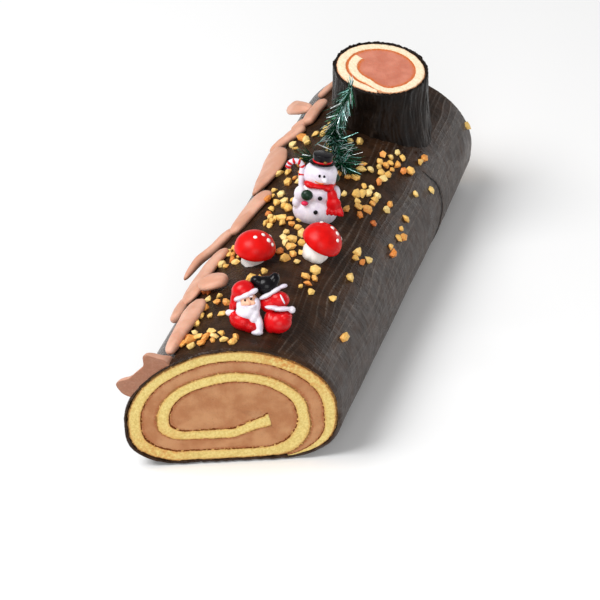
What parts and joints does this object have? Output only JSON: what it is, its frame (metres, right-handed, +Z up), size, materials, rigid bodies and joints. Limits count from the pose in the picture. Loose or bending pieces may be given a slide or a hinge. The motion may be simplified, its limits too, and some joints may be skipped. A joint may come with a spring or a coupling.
{
  "type": "yule log cake",
  "caption": "Rolled sponge cake shaped as a log, iced in dark chocolate, with a cut stump on top, piped cream along one side and small winter decorations.",
  "frame": {"origin": "middle of the flat underside that the cake rests on", "axes": "+Z up, +Y along the log away from the slanted cut face, +X to the right of someone who looks at that face"},
  "size_m": [0.0982, 0.2763, 0.0978],
  "materials": {
    "sponge": "open yellow sponge crumb with a thin browned skin on both faces",
    "filling": "smooth tan-pink milk chocolate buttercream with fine pores",
    "chocolate": "dark chocolate icing, satin, combed with fine wood-grain lines",
    "buttercream": "piped milk chocolate buttercream, smooth and matte",
    "red_cap": "red glossy cap with raised white dots",
    "white_stem": "white sugar",
    "snowman": "painted moulded white figure with red, black and green details",
    "bearded_figure": null,
    "tinsel": "green metallic foil needles with bright glints"
  },
  "bodies": {
    "root": {"log_sponge": "sponge", "log_cream": "filling", "chocolate_coat": "chocolate", "stump_bark": "chocolate", "stump_sponge": "sponge", "stump_cream": "filling", "cream_stroke_front": "buttercream", "cream_stroke_01": "buttercream", "cream_stroke_02": "buttercream", "cream_stroke_03": "buttercream", "cream_stroke_04": "buttercream", "cream_stroke_05": "buttercream", "cream_stroke_06": "buttercream", "cream_stroke_07": "buttercream", "cream_stroke_08": "buttercream", "cream_stroke_09": "buttercream", "cream_stroke_10": "buttercream", "cream_stroke_11": "buttercream", "cream_stroke_12": "buttercream", "mushroom_1_cap": "red_cap", "mushroom_1_stem": "white_stem", "mushroom_2_cap": "red_cap", "mushroom_2_stem": "white_stem", "snowman": "snowman", "bearded_figure": "bearded_figure", "tinsel_sprig": "tinsel"}
  },
  "joints": []
}
